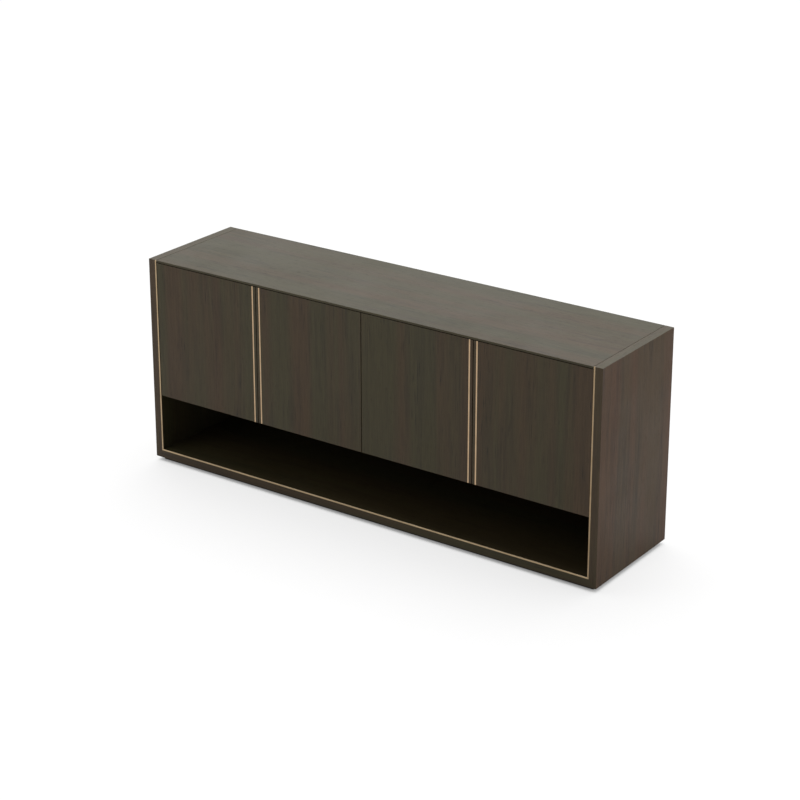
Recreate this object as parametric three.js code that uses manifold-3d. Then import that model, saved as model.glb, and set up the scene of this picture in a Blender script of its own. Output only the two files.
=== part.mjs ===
// Office credenza: a dark veneered carcass with two pairs of flush doors over a long open niche.
// Millimetres, +Z up. The origin is on the floor below the middle of the carcass, the doors face -Y
// and the right-hand end lies towards +X.

import * as THREE from 'three';
import { mergeVertices } from 'three/addons/utils/BufferGeometryUtils.js';
import Module from 'manifold-3d';

const wasm = await Module();
wasm.setup();

// Overall size
const WIDTH = 1800;
const DEPTH = 440;
const HEIGHT = 750;

// Carcass boards
const SIDE_THICKNESS = 32;
const BOTTOM_THICKNESS = 32;
const TOP_THICKNESS = 30;
const TOP_LIP = 7;
const SEAM_WIDTH = 1.2;
const SEAM_DEPTH = 4;
const DECK_THICKNESS = 25;
const DECK_RISE = 4;
const PARTITION_THICKNESS = 25;
const BACK_THICKNESS = 10;
const BACK_LET_IN = 8;
const MITRE_GAP = 0.3;
const FIT_GAP = 0.3;

// Plinth under the bottom board
const PLINTH_HEIGHT = 15;
const PLINTH_RECESS = 20;
const PLINTH_RAIL = 20;

// Brass trim round the opening
const TRIM_WIDTH = 5;
const TRIM_DEPTH = 3;

// Doors and the strips let into them
const NICHE_HEIGHT = 205;
const DOOR_THICKNESS = 22;
const DOOR_SETBACK = 1;
const DOOR_TOP_GAP = 3;
const DOOR_GAP = 3;
const SIDE_GAP = 2;
const STRIP_WIDTH = 5;
const STRIP_DEPTH = 3;
const STRIP_INSET = 10;

// Concealed hinges: an arm with its pin on the carcass, a forked cup in the back of the door
const HINGE_INSET = 75;
const DOOR_SKIN = 3;
const KNUCKLE_RADIUS = 3.6;
const KNUCKLE_CLEARANCE = 0.4;
const PIN_RADIUS = 2;
const SWEEP_CLEARANCE = 0.2;
const SWING_CLEARANCE = 1.2;
const ARM_THICKNESS = 5;
const ARM_HEIGHT = 14;
const ARM_LEAN = THREE.MathUtils.degToRad(30);
const ARM_REACH = 34;
const ARM_RETURN = 22;
const ARM_LAP = 20;
const PLATE_THICKNESS = 2.5;
const PLATE_LENGTH = 48;
const PLATE_HEIGHT = 44;
const PLATE_MARGIN = 8;
const CUP_CLEARANCE = 12;
const CUP_LENGTH = 30;
const CHEEK_GAP = 0.5;
const CHEEK_THICKNESS = 3.5;
const FLANGE_THICKNESS = 1.5;
const FLANGE_HEIGHT = 46;

// Shelves, their pegs and the rows of peg holes
const SHELF_THICKNESS = 22;
const SHELF_RISE = 208;
const SHELF_SETBACK = 20;
const SHELF_END_GAP = 0.8;
const PEG_RADIUS = 2.5;
const PEG_LENGTH = 8;
const PEG_INSET = 55;
const PAD_SIZE = 8;
const PAD_LENGTH = 12;
const HOLE_PITCH = 32;
const HOLES_EACH_WAY = 2;

// Push latches behind the free edges of the doors
const LATCH_INSET = 34;
const LATCH_WIDTH = 14;
const LATCH_HEIGHT = 15;
const LATCH_LENGTH = 62;
const LATCH_MARGIN = 3;
const LATCH_WALL = 5;
const EAR_WIDTH = 34;
const EAR_LENGTH = 26;
const EAR_THICKNESS = 3;
const PLUNGER_RADIUS = 4;
const PLUNGER_LENGTH = 50;
const TIP_RADIUS = 5.5;
const TIP_LENGTH = 3;
const TIP_GAP = 0.4;

// Facets of the round pieces
const SMALL_ROUND = 16;
const ARM_STEPS = 14;

// Places worked out from the sizes
const front = -DEPTH / 2;
const back = DEPTH / 2;
const outer = WIDTH / 2;
const inner = outer - SIDE_THICKNESS;
const nicheFloor = PLINTH_HEIGHT + BOTTOM_THICKNESS;
const topUnderside = HEIGHT - TOP_THICKNESS;
const backFace = back - BACK_THICKNESS;
const doorFront = front + DOOR_SETBACK;
const doorBack = doorFront + DOOR_THICKNESS;
const doorBottom = nicheFloor + NICHE_HEIGHT;
const doorTop = HEIGHT - TOP_LIP - DOOR_TOP_GAP;
const doorHeight = doorTop - doorBottom;
const doorWidth = (2 * inner - 2 * SIDE_GAP - 3 * DOOR_GAP) / 4;
const deckBottom = doorBottom + DECK_RISE;
const deckTop = deckBottom + DECK_THICKNESS;

// The pin sits as far from the hinge edge as keeps the front corner inside the gap when the door swings
const pivotDepth = DOOR_SKIN + KNUCKLE_RADIUS + KNUCKLE_CLEARANCE;
const cornerSweep = Math.min(DOOR_GAP / 2, SIDE_GAP) - SWEEP_CLEARANCE;
const pivotInset = (pivotDepth ** 2 - cornerSweep ** 2) / (2 * cornerSweep);
const backReach = Math.hypot(pivotInset, DOOR_THICKNESS - pivotDepth);
const carcassFront = doorFront + pivotDepth + backReach + SWING_CLEARANCE;

// Hinge heights above the lower edge of the door
const hingeHeights = { lower: HINGE_INSET, upper: doorHeight - HINGE_INSET };

// Finishes
const FINISHES = {
  veneer: { color: 0x40392f, roughness: 0.5, metalness: 0 },
  lining: { color: 0x2b2621, roughness: 0.6, metalness: 0 },
  plinth: { color: 0x17140f, roughness: 0.7, metalness: 0 },
  brass: { color: 0xb39a6e, roughness: 0.35, metalness: 1 },
  steel: { color: 0xa9a9a6, roughness: 0.3, metalness: 1 },
  plastic: { color: 0x2a2a2b, roughness: 0.5, metalness: 0 },
};

// A closed geometry as a solid that can be joined and cut
function solidOf(geometry) {
  geometry.deleteAttribute('normal');
  geometry.deleteAttribute('uv');
  const merged = mergeVertices(geometry);
  return new wasm.Manifold(new wasm.Mesh({
    numProp: 3,
    vertProperties: new Float32Array(merged.attributes.position.array),
    triVerts: new Uint32Array(merged.index.array),
  }));
}

// A solid back as a geometry with flat faces
function geometryOf(solid) {
  const mesh = solid.getMesh();
  const geometry = new THREE.BufferGeometry();
  geometry.setAttribute('position', new THREE.BufferAttribute(mesh.vertProperties, mesh.numProp));
  geometry.setIndex(new THREE.BufferAttribute(mesh.triVerts, 1));
  geometry.computeVertexNormals();
  return geometry;
}

// A box between two corners, each span given as [low, high]
function block(x, y, z) {
  const geometry = new THREE.BoxGeometry(x[1] - x[0], y[1] - y[0], z[1] - z[0]);
  geometry.translate((x[0] + x[1]) / 2, (y[0] + y[1]) / 2, (z[0] + z[1]) / 2);
  return solidOf(geometry);
}

// A span whose ends are put in rising order
function span(a, b) {
  return [Math.min(a, b), Math.max(a, b)];
}

// An outline of [first, second] points pushed along the third direction
function extruded(points, length) {
  const shape = new THREE.Shape(points.map(([p, q]) => new THREE.Vector2(p, q)));
  return new THREE.ExtrudeGeometry(shape, { depth: length, bevelEnabled: false });
}

// Outline in plan, pushed up
function prismZ(points, z) {
  const geometry = extruded(points, z[1] - z[0]);
  geometry.translate(0, 0, z[0]);
  return solidOf(geometry);
}

// Outline seen from the end, as [y, z] points, pushed along the length
function prismX(points, x) {
  const geometry = extruded(points, x[1] - x[0]);
  geometry.applyMatrix4(new THREE.Matrix4().makeBasis(
    new THREE.Vector3(0, 1, 0),
    new THREE.Vector3(0, 0, 1),
    new THREE.Vector3(1, 0, 0),
  ));
  geometry.translate(x[0], 0, 0);
  return solidOf(geometry);
}

// Outline seen from the front, as [x, z] points, pushed through the depth
function prismY(points, y) {
  const geometry = extruded(points, y[1] - y[0]);
  geometry.applyMatrix4(new THREE.Matrix4().makeBasis(
    new THREE.Vector3(1, 0, 0),
    new THREE.Vector3(0, 0, 1),
    new THREE.Vector3(0, -1, 0),
  ));
  geometry.translate(0, y[1], 0);
  return solidOf(geometry);
}

// A round bar along one axis; centre holds the other two coordinates
function rod(axis, centre, radius, length) {
  const geometry = new THREE.CylinderGeometry(radius, radius, length[1] - length[0], SMALL_ROUND);
  const middle = (length[0] + length[1]) / 2;
  if (axis === 'x') {
    geometry.rotateZ(-Math.PI / 2);
    geometry.translate(middle, centre[0], centre[1]);
  } else if (axis === 'y') {
    geometry.translate(centre[0], middle, centre[1]);
  } else {
    geometry.rotateX(Math.PI / 2);
    geometry.translate(centre[0], centre[1], middle);
  }
  return solidOf(geometry);
}

// A named piece with its finish, added to its group
function addPiece(group, name, solid, finish) {
  const mesh = new THREE.Mesh(geometryOf(solid), new THREE.MeshStandardMaterial(FINISHES[finish]));
  mesh.name = name;
  group.add(mesh);
}

// The two sides of the object and the names they carry
const ENDS = [
  { name: 'left', sign: -1 },
  { name: 'right', sign: 1 },
];

// Waste cut away on one side of the corner mitre, from a side board or from the bottom board
function mitreWaste(sign, fromSide) {
  const reach = 2 * (SIDE_THICKNESS + BOTTOM_THICKNESS);
  const insideCorner = new THREE.Vector2(inner, nicheFloor);
  const outsideCorner = new THREE.Vector2(outer, PLINTH_HEIGHT);
  const along = outsideCorner.clone().sub(insideCorner).normalize();
  const towardsSide = new THREE.Vector2(-along.y, along.x);
  const away = towardsSide.clone().multiplyScalar(fromSide ? -1 : 1);
  const shift = away.clone().multiplyScalar(-MITRE_GAP / 2);
  const start = insideCorner.clone().add(shift).addScaledVector(along, -reach);
  const end = outsideCorner.clone().add(shift).addScaledVector(along, reach);
  const farSide = [end, start].map((corner) => corner.clone().addScaledVector(away, reach));
  const corners = [start, end, ...farSide];
  return prismY(corners.map((corner) => [sign * corner.x, corner.y]), [front - 1, back + 1]);
}

// Room that the back board takes in its neighbours, open to the rear
function backPocket() {
  const half = inner + BACK_LET_IN + FIT_GAP;
  const low = nicheFloor - BACK_LET_IN - FIT_GAP;
  const high = topUnderside + BACK_LET_IN + FIT_GAP;
  return block([-half, half], [backFace, back + 1], [low, high]);
}

// Shelf and peg places
const shelfUnderside = deckTop + SHELF_RISE;
const shelfFront = carcassFront + SHELF_SETBACK;
const shelfBack = backFace - SHELF_END_GAP;
const pegRows = [shelfFront + PEG_INSET, shelfBack - PEG_INSET];
const pegHeight = shelfUnderside - PAD_SIZE / 2;

// Rows of blind peg holes in one upright face; inwards is the direction into the board
function pegHoles(faceX, inwards) {
  const holes = [];
  for (const y of pegRows) {
    for (let step = -HOLES_EACH_WAY; step <= HOLES_EACH_WAY; step += 1) {
      const z = pegHeight + step * HOLE_PITCH;
      const deep = faceX + inwards * (PEG_LENGTH + FIT_GAP);
      holes.push(rod('x', [y, z], PEG_RADIUS + FIT_GAP, span(faceX - inwards, deep)));
    }
  }
  return holes;
}

// A solid less all the given waste pieces
function cutAll(solid, waste) {
  return waste.reduce((left, piece) => left.subtract(piece), solid);
}

function sidePanel(sign) {
  const plan = [
    [inner + TRIM_WIDTH, front],
    [outer, front],
    [outer, back],
    [inner, back],
    [inner, front + TRIM_DEPTH],
    [inner + TRIM_WIDTH, front + TRIM_DEPTH],
  ];
  const board = prismZ(plan.map(([x, y]) => [sign * x, y]), [PLINTH_HEIGHT, HEIGHT]);
  return cutAll(board, [mitreWaste(sign, true), backPocket(), ...pegHoles(sign * inner, sign)]);
}

function bottomPanel() {
  const section = [
    [front, PLINTH_HEIGHT],
    [back, PLINTH_HEIGHT],
    [back, nicheFloor],
    [front + TRIM_DEPTH, nicheFloor],
    [front + TRIM_DEPTH, nicheFloor - TRIM_WIDTH],
    [front, nicheFloor - TRIM_WIDTH],
  ];
  const board = prismX(section, [-outer, outer]);
  return cutAll(board, [mitreWaste(-1, false), mitreWaste(1, false), backPocket()]);
}

function topPanel() {
  const section = [
    [front, HEIGHT - TOP_LIP],
    [carcassFront, HEIGHT - TOP_LIP],
    [carcassFront, topUnderside],
    [back, topUnderside],
    [back, HEIGHT],
    [front, HEIGHT],
  ];
  const seams = ENDS.map(({ sign }) => block(
    span(sign * (inner - SEAM_WIDTH), sign * (inner + 1)),
    [front - 1, back + 1],
    [HEIGHT - SEAM_DEPTH, HEIGHT + 1],
  ));
  return cutAll(prismX(section, [-inner, inner]), [...seams, backPocket()]);
}

function centrePartition() {
  const half = PARTITION_THICKNESS / 2;
  const board = block([-half, half], [carcassFront, backFace], [deckTop, topUnderside]);
  return cutAll(board, [...pegHoles(-half, 1), ...pegHoles(half, -1)]);
}

function backPanel() {
  const half = inner + BACK_LET_IN;
  return block([-half, half], [backFace, back], [nicheFloor - BACK_LET_IN, topUnderside + BACK_LET_IN]);
}

function addCarcass(group) {
  for (const { name, sign } of ENDS) {
    addPiece(group, `${name}_side_panel`, sidePanel(sign), 'veneer');
  }
  const deck = block([-inner, inner], [carcassFront, backFace], [deckBottom, deckTop]);
  addPiece(group, 'bottom_panel', bottomPanel(), 'veneer');
  addPiece(group, 'top_panel', topPanel(), 'veneer');
  addPiece(group, 'deck_panel', deck, 'lining');
  addPiece(group, 'centre_partition', centrePartition(), 'lining');
  addPiece(group, 'back_panel', backPanel(), 'lining');
}

function addPlinth(group) {
  const halfX = outer - PLINTH_RECESS;
  const frontY = front + PLINTH_RECESS;
  const rearY = back - PLINTH_RECESS;
  const z = [0, PLINTH_HEIGHT];
  const between = [frontY + PLINTH_RAIL, rearY - PLINTH_RAIL];
  addPiece(group, 'plinth_front_rail', block([-halfX, halfX], [frontY, between[0]], z), 'plinth');
  addPiece(group, 'plinth_rear_rail', block([-halfX, halfX], [between[1], rearY], z), 'plinth');
  for (const { name, sign } of ENDS) {
    const x = span(sign * halfX, sign * (halfX - PLINTH_RAIL));
    addPiece(group, `plinth_${name}_rail`, block(x, between, z), 'plinth');
  }
  const centre = block([-PLINTH_RAIL / 2, PLINTH_RAIL / 2], between, z);
  addPiece(group, 'plinth_centre_rail', centre, 'plinth');
}

function addTrim(group) {
  const y = [front, front + TRIM_DEPTH];
  const lowest = nicheFloor - TRIM_WIDTH;
  for (const { name, sign } of ENDS) {
    const bar = block(span(sign * inner, sign * (inner + TRIM_WIDTH)), y, [lowest, HEIGHT]);
    addPiece(group, `${name}_trim`, bar.subtract(mitreWaste(sign, true)), 'brass');
  }
  const half = inner + TRIM_WIDTH;
  const bar = block([-half, half], y, [lowest, nicheFloor]);
  addPiece(group, 'bottom_trim', cutAll(bar, [mitreWaste(-1, false), mitreWaste(1, false)]), 'brass');
}

// A peg in its hole with the square pad that the shelf lies on; outwards points away from the board
function shelfPin(faceX, outwards, y) {
  const peg = rod('x', [y, pegHeight], PEG_RADIUS, span(faceX - outwards * PEG_LENGTH, faceX + outwards));
  const x = span(faceX, faceX + outwards * PAD_LENGTH);
  const pad = block(x, [y - PAD_SIZE / 2, y + PAD_SIZE / 2], [shelfUnderside - PAD_SIZE, shelfUnderside]);
  return pad.add(peg);
}

function addShelves(group) {
  const nearX = PARTITION_THICKNESS / 2;
  for (const { name, sign } of ENDS) {
    const x = span(sign * (nearX + SHELF_END_GAP), sign * (inner - SHELF_END_GAP));
    const shelf = block(x, [shelfFront, shelfBack], [shelfUnderside, shelfUnderside + SHELF_THICKNESS]);
    addPiece(group, `${name}_shelf`, shelf, 'lining');
    pegRows.forEach((y, row) => {
      const place = row === 0 ? 'front' : 'rear';
      addPiece(group, `${name}_shelf_${place}_outer_pin`, shelfPin(sign * inner, -sign, y), 'steel');
      addPiece(group, `${name}_shelf_${place}_inner_pin`, shelfPin(sign * nearX, sign, y), 'steel');
    });
  }
}

// The four doors: where each hinge edge is, which way the door runs from it, and how far the
// carcass face that carries the hinge lies from that edge
const innerEdge = DOOR_GAP / 2;
const outerEdge = inner - SIDE_GAP;
const innerCarrier = PARTITION_THICKNESS / 2 - innerEdge;
const DOORS = ENDS.flatMap(({ name, sign }) => [
  { name: `${name}_outer`, edge: sign * outerEdge, run: -sign, carrier: -SIDE_GAP },
  { name: `${name}_inner`, edge: sign * innerEdge, run: sign, carrier: innerCarrier },
]);

// Upper and lower pocket in the back of a door, open at the hinge edge, in door coordinates:
// x from the pin towards the free edge, y from the pin towards the back, z up from the lower edge
const cupStart = CUP_CLEARANCE;
const cupEnd = cupStart + CUP_LENGTH;
const cupHalf = ARM_HEIGHT / 2 + CHEEK_GAP + CHEEK_THICKNESS;
const skinFace = DOOR_SKIN - pivotDepth;
const rearFace = DOOR_THICKNESS - pivotDepth;

function doorBoard(run) {
  const x = span(-run * pivotInset, run * (doorWidth - pivotInset));
  const board = block(x, [-pivotDepth, rearFace], [0, doorHeight]);
  const pockets = Object.values(hingeHeights).map((z) => block(
    span(-run * (pivotInset + 1), run * cupEnd),
    [skinFace, rearFace + 1],
    [z - cupHalf, z + cupHalf],
  ));
  const groove = block(stripSpan(run), [-pivotDepth - 1, STRIP_DEPTH - pivotDepth], [-1, doorHeight + 1]);
  return cutAll(board, [...pockets, groove]);
}

// Where the strip lies across the door, measured from the pin
function stripSpan(run) {
  const near = doorWidth - pivotInset - STRIP_INSET;
  return span(run * (near - STRIP_WIDTH), run * near);
}

function doorStrip(run) {
  return block(stripSpan(run), [-pivotDepth, STRIP_DEPTH - pivotDepth], [0, doorHeight]);
}

// Forked cup let into the door, with a screw flange on the back of the door
function hingeCup(run, z) {
  const body = block(span(run * cupStart, run * cupEnd), [skinFace, rearFace], [z - cupHalf, z + cupHalf]);
  const flange = block(
    span(run * cupStart, run * cupEnd),
    [rearFace, rearFace + FLANGE_THICKNESS],
    [z - FLANGE_HEIGHT / 2, z + FLANGE_HEIGHT / 2],
  );
  const cheeks = [-1, 1].map((side) => {
    const levels = span(z + side * cupHalf, z + side * (cupHalf - CHEEK_THICKNESS));
    const bar = block(span(0, run * (cupStart + 1)), [-KNUCKLE_RADIUS, KNUCKLE_RADIUS], levels);
    return bar.add(rod('z', [0, 0], KNUCKLE_RADIUS, levels));
  });
  const bore = rod('z', [0, 0], PIN_RADIUS + FIT_GAP, [z - cupHalf - 1, z + cupHalf + 1]);
  return cheeks.reduce((joined, cheek) => joined.add(cheek), body.add(flange)).subtract(bore);
}

// Curved arm from the pin round the door's rear corner to its plate on the carcass,
// in the same coordinates as the door but fixed to the carcass
function hingeArm(run, carrier, z) {
  const face = carrier - pivotInset;
  const plateFront = carcassFront - doorFront - pivotDepth + PLATE_MARGIN;
  const seatX = face + FIT_GAP + ARM_THICKNESS / 2;
  const seatY = plateFront + ARM_LAP;
  const curve = new THREE.CubicBezierCurve(
    new THREE.Vector2(0, 0),
    new THREE.Vector2(ARM_REACH * Math.sin(ARM_LEAN), ARM_REACH * Math.cos(ARM_LEAN)),
    new THREE.Vector2(seatX, seatY - ARM_RETURN),
    new THREE.Vector2(seatX, seatY),
  );
  const sides = [-1, 1].map((side) => {
    const edge = [];
    for (let step = 0; step <= ARM_STEPS; step += 1) {
      const t = step / ARM_STEPS;
      const point = curve.getPoint(t);
      const tangent = curve.getTangent(t);
      const offset = side * ARM_THICKNESS / 2;
      edge.push([run * (point.x - offset * tangent.y), point.y + offset * tangent.x]);
    }
    return edge;
  });
  const levels = [z - ARM_HEIGHT / 2, z + ARM_HEIGHT / 2];
  const bow = prismZ([...sides[0], ...sides[1].reverse()], levels);
  const knuckle = rod('z', [0, 0], KNUCKLE_RADIUS, levels);
  const pin = rod('z', [0, 0], PIN_RADIUS, [z - cupHalf + FIT_GAP, z + cupHalf - FIT_GAP]);
  const plate = block(
    span(run * face, run * (face + PLATE_THICKNESS)),
    [plateFront, plateFront + PLATE_LENGTH],
    [z - PLATE_HEIGHT / 2, z + PLATE_HEIGHT / 2],
  );
  return bow.add(knuckle).add(pin).add(plate);
}

// Housing of a push latch under the top board, bored from the front for the plunger
function latchHousing() {
  const half = LATCH_WIDTH / 2;
  const body = block([-half, half], [0, LATCH_LENGTH], [-LATCH_HEIGHT, 0]);
  const earY = (LATCH_LENGTH - EAR_LENGTH) / 2;
  const ears = block([-EAR_WIDTH / 2, EAR_WIDTH / 2], [earY, earY + EAR_LENGTH], [-EAR_THICKNESS, 0]);
  const bore = rod('y', [0, -LATCH_HEIGHT / 2], PLUNGER_RADIUS + FIT_GAP, [-1, LATCH_LENGTH - LATCH_WALL]);
  return body.add(ears).subtract(bore);
}

// Plunger with its broader soft tip, from just behind the door into the bore
function latchPlunger(tipY) {
  const centre = [0, -LATCH_HEIGHT / 2];
  const bar = rod('y', centre, PLUNGER_RADIUS, [tipY + TIP_LENGTH - 1, tipY + PLUNGER_LENGTH]);
  return bar.add(rod('y', centre, TIP_RADIUS, [tipY, tipY + TIP_LENGTH]));
}

function addDoor(group, { name, edge, run, carrier }) {
  const leaf = new THREE.Group();
  leaf.position.set(edge + run * pivotInset, doorFront + pivotDepth, doorBottom);
  addPiece(leaf, `${name}_door`, doorBoard(run), 'veneer');
  addPiece(leaf, `${name}_door_strip`, doorStrip(run), 'brass');
  for (const [level, z] of Object.entries(hingeHeights)) {
    addPiece(leaf, `${name}_door_${level}_hinge_cup`, hingeCup(run, z), 'steel');
    addPiece(leaf, `${name}_door_${level}_hinge_arm`, hingeArm(run, carrier, z), 'steel');
  }
  const latch = new THREE.Group();
  const latchFront = carcassFront + LATCH_MARGIN;
  latch.position.set(edge + run * (doorWidth - LATCH_INSET), latchFront, topUnderside);
  addPiece(latch, `${name}_latch_housing`, latchHousing(), 'plastic');
  addPiece(latch, `${name}_latch_plunger`, latchPlunger(doorBack + TIP_GAP - latchFront), 'plastic');
  group.add(leaf, latch);
}

const credenza = new THREE.Group();
credenza.name = 'office_credenza';
addPlinth(credenza);
addCarcass(credenza);
addTrim(credenza);
addShelves(credenza);
DOORS.forEach((door) => addDoor(credenza, door));

export default credenza;
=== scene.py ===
"""Dresses the office credenza: veneered boards, brass inlay, hinges and latches, in a white studio."""

import logging
import math
from dataclasses import dataclass
from enum import Enum
from typing import ClassVar, Sequence

import bmesh
import bpy
from mathutils import Color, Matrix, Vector


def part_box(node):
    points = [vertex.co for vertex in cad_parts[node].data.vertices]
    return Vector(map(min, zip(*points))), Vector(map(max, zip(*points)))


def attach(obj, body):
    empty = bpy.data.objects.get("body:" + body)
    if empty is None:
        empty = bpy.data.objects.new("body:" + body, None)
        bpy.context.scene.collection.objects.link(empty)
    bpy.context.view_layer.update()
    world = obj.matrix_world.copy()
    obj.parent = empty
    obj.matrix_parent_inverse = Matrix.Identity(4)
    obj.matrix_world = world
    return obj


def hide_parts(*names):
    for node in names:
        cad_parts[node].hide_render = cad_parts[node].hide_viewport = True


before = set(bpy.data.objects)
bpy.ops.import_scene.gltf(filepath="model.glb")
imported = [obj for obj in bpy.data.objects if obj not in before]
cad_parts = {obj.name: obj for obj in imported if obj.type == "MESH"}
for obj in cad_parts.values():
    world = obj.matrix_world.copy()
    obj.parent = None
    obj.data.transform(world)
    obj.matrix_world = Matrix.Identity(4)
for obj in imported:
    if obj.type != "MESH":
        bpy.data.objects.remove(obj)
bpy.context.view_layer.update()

LOG = logging.getLogger("credenza")
MM = 0.001
CARCASS = "carcass"

# What a piece's mesh carries for its finish to read
GRAIN_SPACE = "grain_space"
EDGE_MASK = "edge_mask"

# Directions of the object's frame
RIGHT = Vector((1, 0, 0))
FRONT = Vector((0, -1, 0))
BACK = Vector((0, 1, 0))
UP = Vector((0, 0, 1))

# Values that the shaders share
FULL_BYTE = 255
UNIT = (0.0, 1.0)
NOISE_MIDDLE = 0.5
WHITE = (1.0, 1.0, 1.0, 1.0)

Linear = tuple[float, float, float, float]
Socket = bpy.types.NodeSocket
Sockets = bpy.types.bpy_prop_collection
Value = float | Sequence[float] | Socket
Span = tuple[Value, Value]
Feeds = dict[str | int, Value]
Place = tuple[Vector, Vector]


class Axis(Enum):
    """A direction of the object's frame."""

    X = 0
    Y = 1
    Z = 2


class Level(Enum):
    """The two heights at which a door is hung."""

    LOWER = "lower"
    UPPER = "upper"


class Mottle(Enum):
    """The two patterns of the clouding."""

    CLOUD = "Cloud"
    SPECK = "Speck"


class Ray(Enum):
    """Rays to which the studio shows its bright backdrop."""

    CAMERA = "Is Camera Ray"
    GLOSSY = "Is Glossy Ray"
    TRANSMISSION = "Is Transmission Ray"


def paint(code: str) -> Linear:
    """Turn the six hexadecimal digits of a screen colour into the linear colour that a shader takes."""
    shown = Color([part / FULL_BYTE for part in bytes.fromhex(code)])
    return (*shown.from_srgb_to_scene_linear(), 1.0)


def settle(made: bpy.types.Object) -> None:
    """Turn what an object's modifiers make into its plain mesh, and remove them.

    Args:
        made: The object with its modifiers.
    """
    graph = bpy.context.evaluated_depsgraph_get()
    shaped = made.evaluated_get(graph)
    plain = bpy.data.meshes.new_from_object(shaped, preserve_all_data_layers=True, depsgraph=graph)
    made.modifiers.clear()
    made.data = plain


def stand(item: bpy.types.Object, way: Vector) -> None:
    """Put a lamp or the camera into the scene.

    Args:
        item: The lamp or camera.
        way: The direction that it faces.
    """
    item.rotation_mode = "QUATERNION"
    item.rotation_quaternion = way.to_track_quat("-Z", "Y")
    bpy.context.scene.collection.objects.link(item)


@dataclass
class Wiring:
    """Adds nodes to one tree and joins them.

    Attributes:
        tree: The node tree to fill.
        mix_inputs: Numbers of a colour mix's share and its two colours among its inputs.
        mix_output: Number of the mixed colour among its outputs.
    """

    tree: bpy.types.NodeTree
    mix_inputs: ClassVar[tuple[int, int, int]] = (0, 6, 7)
    mix_output: ClassVar[int] = 2

    @classmethod
    def anew(cls, owner: bpy.types.Material | bpy.types.World) -> "Wiring":
        """Empty the tree of a material or a world.

        Args:
            owner: What the tree belongs to.

        Returns:
            The wiring of the empty tree.
        """
        owner.use_nodes = True
        owner.node_tree.nodes.clear()
        return cls(owner.node_tree)

    def add(self, kind: str, feeds: Feeds | None = None, **settings: object) -> bpy.types.Node:
        """Add one node, set its options and feed its inputs.

        Args:
            kind: Class name of the node.
            feeds: Input name or number to the socket or plain value that it takes.
            settings: Options of the node.

        Returns:
            The new node.
        """
        node = self.tree.nodes.new(kind)
        for option, value in settings.items():
            setattr(node, option, value)
        for key, value in (feeds or {}).items():
            self.feed(node.inputs[key], value)
        return node

    def feed(self, socket: Socket, value: Value) -> None:
        """Link a socket to another one, or set its plain value.

        Args:
            socket: The input to feed.
            value: The output to link, or a value.
        """
        if isinstance(value, Socket):
            self.tree.links.new(value, socket)
        else:
            socket.default_value = value

    def math(self, operation: str, first: Value, second: Value) -> Socket:
        """Work out one number from two and return its socket."""
        return self.add("ShaderNodeMath", {0: first, 1: second}, operation=operation).outputs[0]

    def ramp(self, value: Value, source: Span, target: Span = UNIT) -> Socket:
        """Carry a value smoothly from one range to another.

        Args:
            value: The value to carry over.
            source: Where the old range starts and ends.
            target: What its start and its end become.

        Returns:
            The result's socket.
        """
        feeds = {
            "Value": value,
            "From Min": source[0],
            "From Max": source[1],
            "To Min": target[0],
            "To Max": target[1],
        }
        return self.add("ShaderNodeMapRange", feeds, interpolation_type="SMOOTHSTEP").outputs["Result"]

    def mix(self, share: Value, first: Value, second: Value, blend: str = "MIX") -> Socket:
        """Mix two colours.

        Args:
            share: How much of the second colour shows.
            first: The colour at share 0.
            second: The colour at share 1.
            blend: How the colours are blended.

        Returns:
            The mixed colour's socket.
        """
        feeds = dict(zip(self.mix_inputs, (share, first, second)))
        node = self.add("ShaderNodeMix", feeds, data_type="RGBA", blend_type=blend)
        return node.outputs[self.mix_output]

    def noise(self, vector: Value, scale: Value, detail: float, roughness: float = 0.5) -> Socket:
        """Read a noise with its grains per unit and its finer layers, and return its value's socket."""
        feeds = {"Vector": vector, "Scale": scale, "Detail": detail, "Roughness": roughness}
        return self.add("ShaderNodeTexNoise", feeds).outputs[0]

    def drawn_out(self, parts: Sequence[Socket], width: Value, length: Value) -> Socket:
        """Scale coordinates so that the grains of a noise come out narrow and long.

        Args:
            parts: The three coordinates, of which the third runs along the grain.
            width: Size of a grain across.
            length: Size of a grain along its length.

        Returns:
            The scaled coordinates' socket.
        """
        scaled = {
            number: self.math("DIVIDE", part, size)
            for number, (part, size) in enumerate(zip(parts, (width, width, length)))
        }
        return self.add("ShaderNodeCombineXYZ", scaled).outputs[0]


class ShaderGroup:
    """A shader node group that is built once and placed in many materials.

    Attributes:
        name: Name of the group.
        numbers: Names of the inputs that take a number, after the coordinates.
        outputs: Names of the outputs.
    """

    name: ClassVar[str]
    numbers: ClassVar[tuple[str, ...]]
    outputs: ClassVar[tuple[str, ...]]

    def place(self, wiring: Wiring, feeds: Feeds) -> Sockets:
        """Put the group into a material with its own values and return the outputs."""
        tree = bpy.data.node_groups.get(self.name) or self._build()
        return wiring.add("ShaderNodeGroup", feeds, node_tree=tree).outputs

    def _build(self) -> bpy.types.NodeTree:
        """Make the tree with its sockets and let the subclass fill it.

        Returns:
            The finished tree.
        """
        tree = bpy.data.node_groups.new(self.name, "ShaderNodeTree")
        tree.interface.new_socket("Vector", in_out="INPUT", socket_type="NodeSocketVector")
        for label in self.numbers:
            tree.interface.new_socket(label, in_out="INPUT", socket_type="NodeSocketFloat")
        for label in self.outputs:
            tree.interface.new_socket(label, in_out="OUTPUT", socket_type="NodeSocketFloat")
        wiring = Wiring(tree)
        source = wiring.add("NodeGroupInput")
        wiring.add("NodeGroupOutput", self.fill(wiring, source.outputs))
        return tree

    def fill(self, wiring: Wiring, given: Sockets) -> Feeds:
        """Add the group's nodes and return the socket for each output; subclasses do so."""
        raise NotImplementedError


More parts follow.
